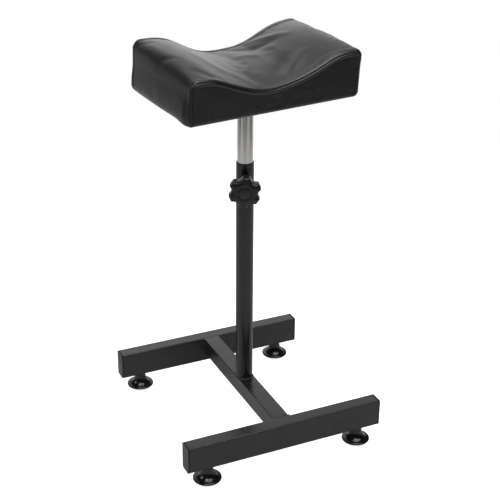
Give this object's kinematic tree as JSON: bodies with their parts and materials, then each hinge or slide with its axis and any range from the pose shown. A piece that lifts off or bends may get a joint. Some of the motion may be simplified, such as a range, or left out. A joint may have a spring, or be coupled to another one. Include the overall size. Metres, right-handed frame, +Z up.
{
  "type": "tattoo armrest stand",
  "caption": "Free-standing armrest with an H-shaped base on levelling feet, a telescoping swivelling post with a star-knob clamp and a saddle-shaped padded rest.",
  "frame": {"origin": "on the floor, under the post's axis, in the middle of the base", "axes": "+Z up along the post, +X along the base's rails to the right, +Y along the cross bar to the rear"},
  "size_m": [0.3566, 0.3718, 0.6816],
  "materials": {
    "black_steel": "satin black powder coat with a fine texture",
    "chrome_steel": "bright plated tube with soft rubbing marks",
    "zinc_steel": "zinc plated, dull",
    "matte_black": "moulded black nylon, fine spark texture",
    "gloss_black": "smooth glossy black plastic",
    "leatherette": "black synthetic leather with a fine grain, satin",
    "foam": "open-cell polyurethane foam",
    "plywood": "sanded birch plywood",
    "black_cloth": "thin non-woven cloth"
  },
  "bodies": {
    "base": {"front_rail": "black_steel", "rear_rail": "black_steel", "cross_bar": "black_steel", "outer_tube": "black_steel", "clamp_boss": "black_steel", "rail_cap_front_left": "matte_black", "rail_cap_front_right": "matte_black", "rail_cap_rear_left": "matte_black", "rail_cap_rear_right": "matte_black", "foot_nut_front_left": "zinc_steel", "foot_nut_front_right": "zinc_steel", "foot_nut_rear_left": "zinc_steel", "foot_nut_rear_right": "zinc_steel"},
    "foot_bolt_front_left_body": {"foot_bolt_front_left": "zinc_steel"},
    "foot_front_left": {"foot_base_front_left": "gloss_black"},
    "foot_bolt_front_right_body": {"foot_bolt_front_right": "zinc_steel"},
    "foot_front_right": {"foot_base_front_right": "gloss_black"},
    "foot_bolt_rear_left_body": {"foot_bolt_rear_left": "zinc_steel"},
    "foot_rear_left": {"foot_base_rear_left": "gloss_black"},
    "foot_bolt_rear_right_body": {"foot_bolt_rear_right": "zinc_steel"},
    "foot_rear_right": {"foot_base_rear_right": "gloss_black"},
    "lift": {"lower_guide": "matte_black"},
    "pad_head": {"inner_tube": "chrome_steel", "mount_plate": "black_steel", "plate_bolt_front_left": "zinc_steel", "plate_bolt_front_right": "zinc_steel", "plate_bolt_rear_left": "zinc_steel", "plate_bolt_rear_right": "zinc_steel", "tee_nut_front_left": "zinc_steel", "tee_nut_front_right": "zinc_steel", "tee_nut_rear_left": "zinc_steel", "tee_nut_rear_right": "zinc_steel", "pad_board": "plywood", "pad_foam": "foam", "pad_cover": "leatherette", "dust_cloth": "black_cloth"},
    "clamp_screw_body": {"clamp_screw": "zinc_steel"},
    "knob": {"star_knob": "matte_black", "knob_cap": "gloss_black"}
  },
  "joints": [
    {"name": "foot_travel_front_left", "type": "slide", "parent": "base", "child": "foot_bolt_front_left_body", "axis": [0, 0, -1], "range_m": [0, 0.01]},
    {"name": "foot_turn_front_left", "type": "hinge", "parent": "foot_bolt_front_left_body", "child": "foot_front_left", "pos_m": [-0.14, -0.162, 0], "axis": [0, 0, -1], "range_deg": [0, 2880]},
    {"name": "foot_travel_front_right", "type": "slide", "parent": "base", "child": "foot_bolt_front_right_body", "axis": [0, 0, -1], "range_m": [0, 0.01]},
    {"name": "foot_turn_front_right", "type": "hinge", "parent": "foot_bolt_front_right_body", "child": "foot_front_right", "pos_m": [0.14, -0.162, 0], "axis": [0, 0, -1], "range_deg": [0, 2880]},
    {"name": "foot_travel_rear_left", "type": "slide", "parent": "base", "child": "foot_bolt_rear_left_body", "axis": [0, 0, -1], "range_m": [0, 0.01]},
    {"name": "foot_turn_rear_left", "type": "hinge", "parent": "foot_bolt_rear_left_body", "child": "foot_rear_left", "pos_m": [-0.14, 0.162, 0], "axis": [0, 0, -1], "range_deg": [0, 2880]},
    {"name": "foot_travel_rear_right", "type": "slide", "parent": "base", "child": "foot_bolt_rear_right_body", "axis": [0, 0, -1], "range_m": [0, 0.01]},
    {"name": "foot_turn_rear_right", "type": "hinge", "parent": "foot_bolt_rear_right_body", "child": "foot_rear_right", "pos_m": [0.14, 0.162, 0], "axis": [0, 0, -1], "range_deg": [0, 2880]},
    {"name": "height_slide", "type": "slide", "parent": "base", "child": "lift", "axis": [0, 0, 1], "range_m": [-0.105, 0.18]},
    {"name": "pad_swivel", "type": "hinge", "parent": "lift", "child": "pad_head", "pos_m": [0, 0, 0], "axis": [0, 0, 1], "continuous": true},
    {"name": "clamp_travel", "type": "slide", "parent": "base", "child": "clamp_screw_body", "axis": [-0.4226, -0.9063, 0], "range_m": [0, 0.0025]},
    {"name": "knob_turn", "type": "hinge", "parent": "clamp_screw_body", "child": "knob", "pos_m": [-0.0169, -0.03625, 0.4419], "axis": [-0.4226, -0.9063, 0], "range_deg": [0, 720]}
  ],
  "couplings": [
    {"joint": "foot_travel_front_left", "follows": "foot_turn_front_left", "m_per_rad": 0.00019894},
    {"joint": "foot_travel_front_right", "follows": "foot_turn_front_right", "m_per_rad": 0.00019894},
    {"joint": "foot_travel_rear_left", "follows": "foot_turn_rear_left", "m_per_rad": 0.00019894},
    {"joint": "foot_travel_rear_right", "follows": "foot_turn_rear_right", "m_per_rad": 0.00019894},
    {"joint": "clamp_travel", "follows": "knob_turn", "m_per_rad": 0.00019894}
  ]
}
